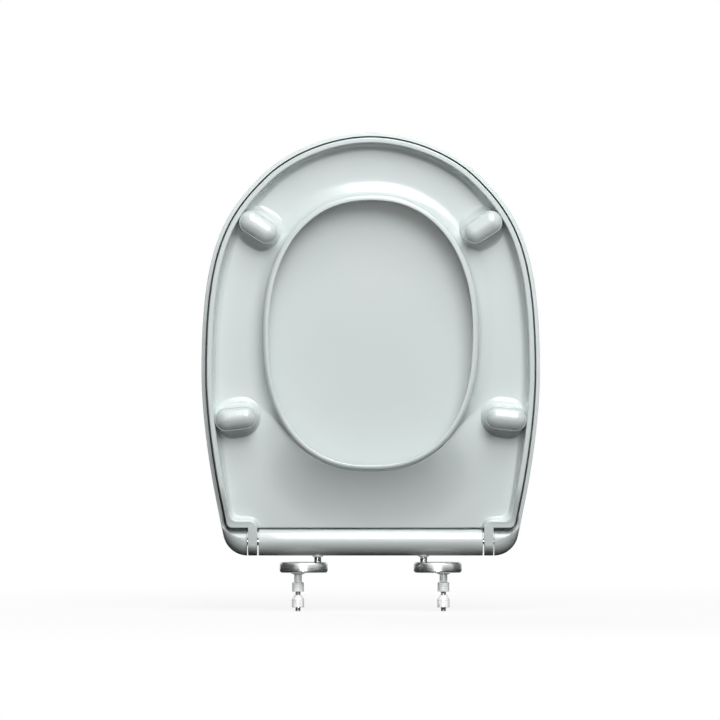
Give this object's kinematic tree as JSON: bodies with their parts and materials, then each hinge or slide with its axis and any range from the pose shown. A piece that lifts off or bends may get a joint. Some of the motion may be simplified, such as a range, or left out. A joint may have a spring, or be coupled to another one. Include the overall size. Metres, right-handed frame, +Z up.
{
  "type": "toilet seat",
  "caption": "Soft-close toilet seat: a hard plastic seat ring with rubber pads and an overlapping lid, both raised on one hinge bar with adjustable posts, cover discs and fixing bolts.",
  "frame": {"origin": "on the bowl's top face, midway between the two fixing bolts", "axes": "+Z up, square to the bowl's top face and towards the front edge of the raised seat; -Y towards the front of the bowl; +X to the right as seen from the front of the bowl, along the hinge axis"},
  "size_m": [0.3602, 0.0586, 0.5101],
  "materials": {
    "gloss_plastic": "glossy white thermoset moulding",
    "bar_plastic": "glossy white moulded tube",
    "pad_rubber": "satin white soft plastic",
    "bush_plastic": "natural white",
    "damper_plastic": "dark grey moulded",
    "satin_steel": "satin stainless",
    "bright_steel": "bright stainless",
    "spring_steel": "spring wire, bright",
    "fixing_plastic": "white moulded nylon",
    "gasket_rubber": "soft pale grey",
    "sleeve_rubber": "light grey, matt"
  },
  "bodies": {
    "root": {"hinge_bar": "bar_plastic", "left_damper": "damper_plastic", "left_post_socket": "fixing_plastic", "left_snap_spring": "spring_steel", "left_hinge_post": "bright_steel", "left_rosette": "satin_steel", "left_base_plate": "fixing_plastic", "left_gasket": "gasket_rubber", "left_cone_washer": "fixing_plastic", "left_spacer_sleeve": "fixing_plastic", "left_expansion_sleeve": "sleeve_rubber", "left_cone_nut": "fixing_plastic", "left_fixing_bolt": "bright_steel", "right_damper": "damper_plastic", "right_post_socket": "fixing_plastic", "right_snap_spring": "spring_steel", "right_hinge_post": "bright_steel", "right_rosette": "satin_steel", "right_base_plate": "fixing_plastic", "right_gasket": "gasket_rubber", "right_cone_washer": "fixing_plastic", "right_spacer_sleeve": "fixing_plastic", "right_expansion_sleeve": "sleeve_rubber", "right_cone_nut": "fixing_plastic", "right_fixing_bolt": "bright_steel"},
    "seat": {"seat_ring": "gloss_plastic", "front_left_pad": "pad_rubber", "front_right_pad": "pad_rubber", "rear_left_pad": "pad_rubber", "rear_right_pad": "pad_rubber", "left_seat_bush": "bush_plastic", "right_seat_bush": "bush_plastic", "seat_shaft": "bright_steel"},
    "lid": {"lid_shell": "gloss_plastic", "left_lid_buffer": "pad_rubber", "right_lid_buffer": "pad_rubber", "left_lid_bush": "bush_plastic", "right_lid_bush": "bush_plastic", "lid_shaft": "bright_steel"}
  },
  "joints": [
    {"name": "seat_hinge", "type": "hinge", "parent": "root", "child": "seat", "pos_m": [0, 0, 0.033], "axis": [1, 0, 0], "range_deg": [-5, 90]},
    {"name": "lid_hinge", "type": "hinge", "parent": "seat", "child": "lid", "pos_m": [0, 0, 0.033], "axis": [1, 0, 0], "range_deg": [-95, 0]}
  ]
}
